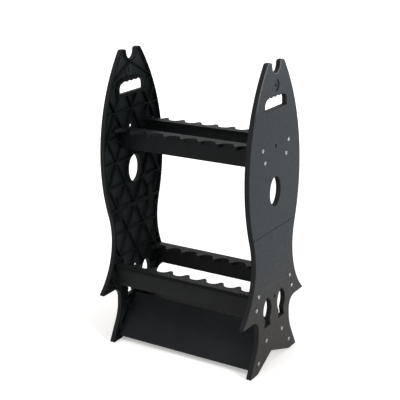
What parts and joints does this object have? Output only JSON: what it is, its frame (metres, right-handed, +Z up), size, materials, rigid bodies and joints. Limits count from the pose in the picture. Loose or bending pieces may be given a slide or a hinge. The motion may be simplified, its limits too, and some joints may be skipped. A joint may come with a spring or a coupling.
{
  "type": "rod rack",
  "caption": "Free-standing rack that holds fishing rods upright in notched bars between two fish-shaped side panels.",
  "frame": {"origin": "bottom centre of the bounding box, on the floor between the four feet", "axes": "+X across the rack from the left side panel to the right one, +Y from the front to the back, +Z up"},
  "size_m": [0.3828, 0.2824, 0.684],
  "materials": {
    "panel": "black moulded plastic, fine texture, smooth outside and ribbed inside",
    "bar": "black moulded plastic, fine texture",
    "board": "black plastic sheet, fine texture",
    "screw": "zinc-plated pan head",
    "pin": "plain steel pin"
  },
  "bodies": {
    "root": {"left_side_upper": "panel", "left_side_lower": "panel", "right_side_upper": "panel", "right_side_lower": "panel", "upper_front_bar": "bar", "upper_rear_bar": "bar", "lower_front_bar": "bar", "lower_rear_bar": "bar", "front_base_board": "board", "rear_base_board": "board", "left_joint_pins": "pin", "right_joint_pins": "pin", "upper_front_screws": "screw", "upper_rear_screws": "screw", "lower_front_screws": "screw", "lower_rear_screws": "screw", "front_base_screws": "screw", "rear_base_screws": "screw"}
  },
  "joints": []
}
